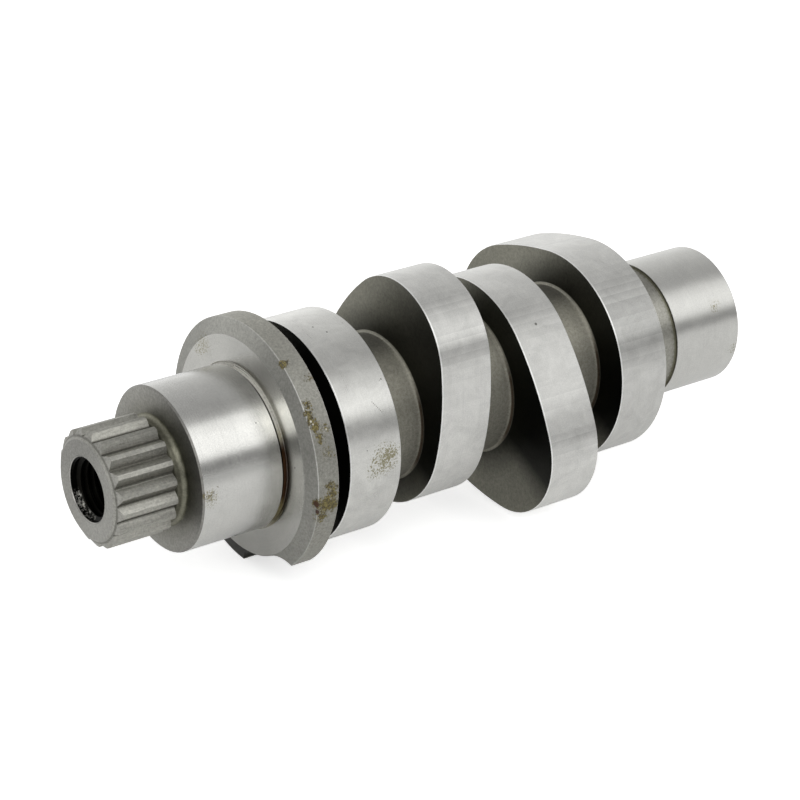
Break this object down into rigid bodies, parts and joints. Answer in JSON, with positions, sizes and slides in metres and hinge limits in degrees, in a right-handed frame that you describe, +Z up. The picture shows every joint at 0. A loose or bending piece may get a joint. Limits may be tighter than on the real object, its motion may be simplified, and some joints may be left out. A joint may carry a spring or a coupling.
{
  "type": "camshaft",
  "caption": "One-piece steel camshaft with a splined nose, ground front journal, notched thrust flange, ground cam lobes and a smaller inner journal, for a small pushrod engine.",
  "frame": {"origin": "on the shaft's axis in the middle of the front journal", "axes": "+X along the shaft from the splined nose to the inner journal, +Z up, +Y away from the viewer of the picture"},
  "size_m": [0.1313, 0.052, 0.0467],
  "materials": {
    "steel": "ground journals and lobes, turned core and flange"
  },
  "bodies": {
    "root": {"camshaft": "steel"}
  },
  "joints": []
}
